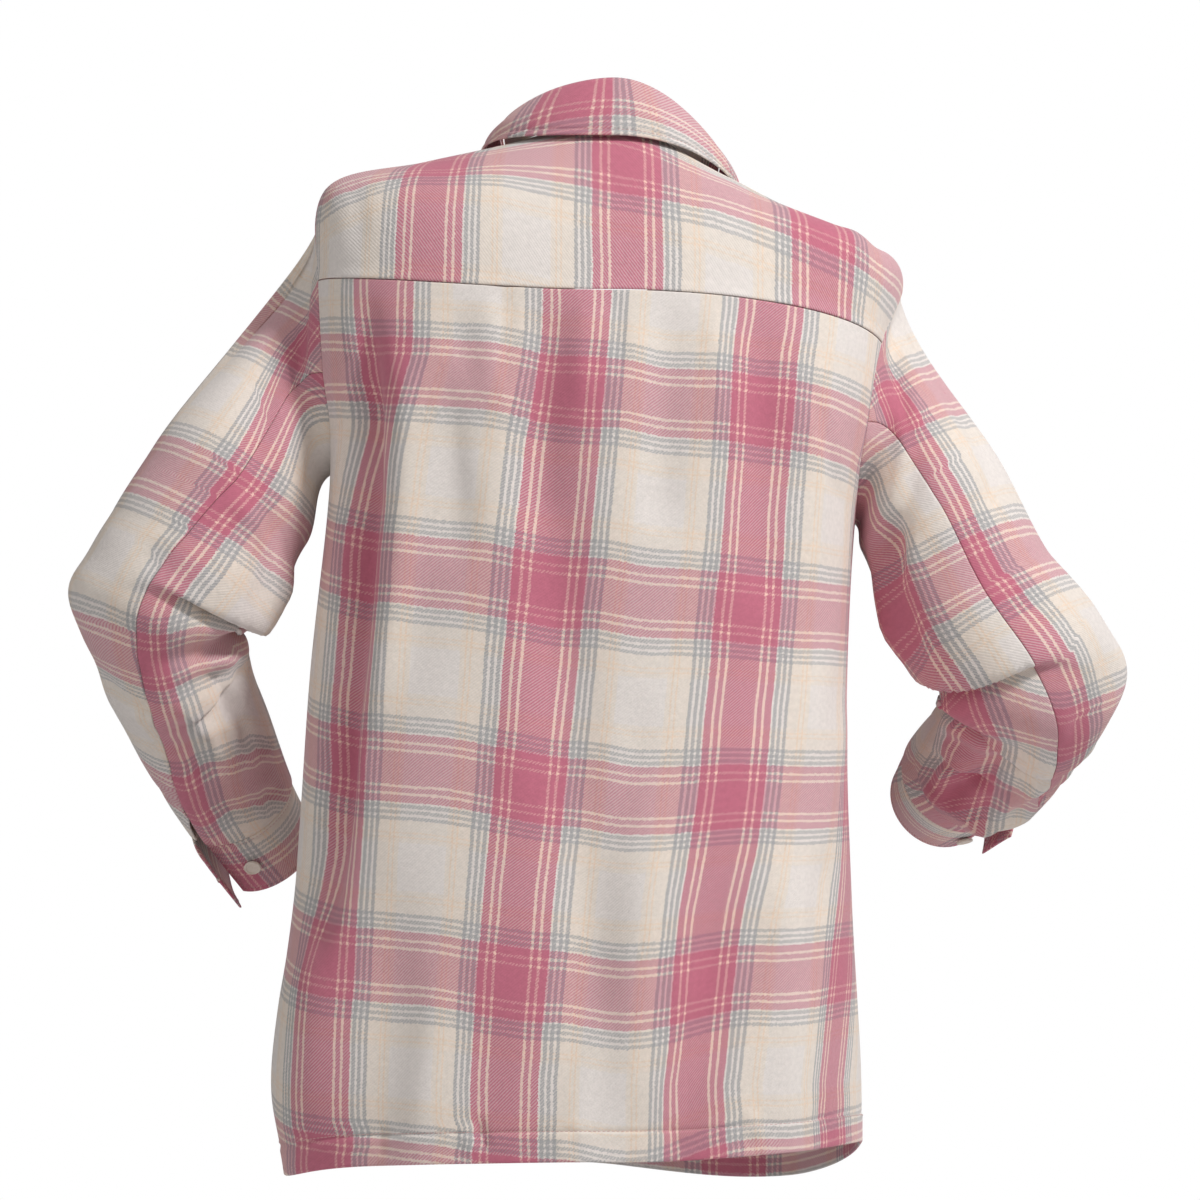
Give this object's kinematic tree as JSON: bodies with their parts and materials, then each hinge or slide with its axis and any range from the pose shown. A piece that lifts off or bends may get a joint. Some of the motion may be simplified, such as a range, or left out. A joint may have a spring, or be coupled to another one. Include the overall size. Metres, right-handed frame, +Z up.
{
  "type": "shirt-jacket",
  "caption": "Plaid flannel shirt-jacket in its worn form: hollow, with back yoke, spread collar, seamed sleeves, loose cuffs and a buttoned front.",
  "frame": {"origin": "middle of the neck opening at shoulder height, where the garment hangs from the shoulders that wear it", "axes": "+Z up through the neck opening, -Y towards the button front, +Y towards the back, +X towards the wearer's left"},
  "size_m": [0.7675, 0.3715, 0.8072],
  "materials": {
    "flannel": "brushed plaid flannel",
    "button_plastic": "semi-gloss"
  },
  "bodies": {
    "root": {"back_panel": "flannel", "yoke": "flannel", "front_left": "flannel", "front_right": "flannel", "band_right": "flannel", "band_left": "flannel", "collar_stand": "flannel", "collar_fall": "flannel", "sleeve_left_top": "flannel", "sleeve_left_under": "flannel", "sleeve_right_top": "flannel", "sleeve_right_under": "flannel", "cuff_left": "flannel", "cuff_right": "flannel", "cuff_button_left": "button_plastic", "cuff_button_right": "button_plastic", "button_1": "button_plastic", "button_2": "button_plastic", "button_3": "button_plastic", "button_4": "button_plastic", "button_5": "button_plastic", "button_6": "button_plastic", "button_7": "button_plastic"}
  },
  "joints": []
}
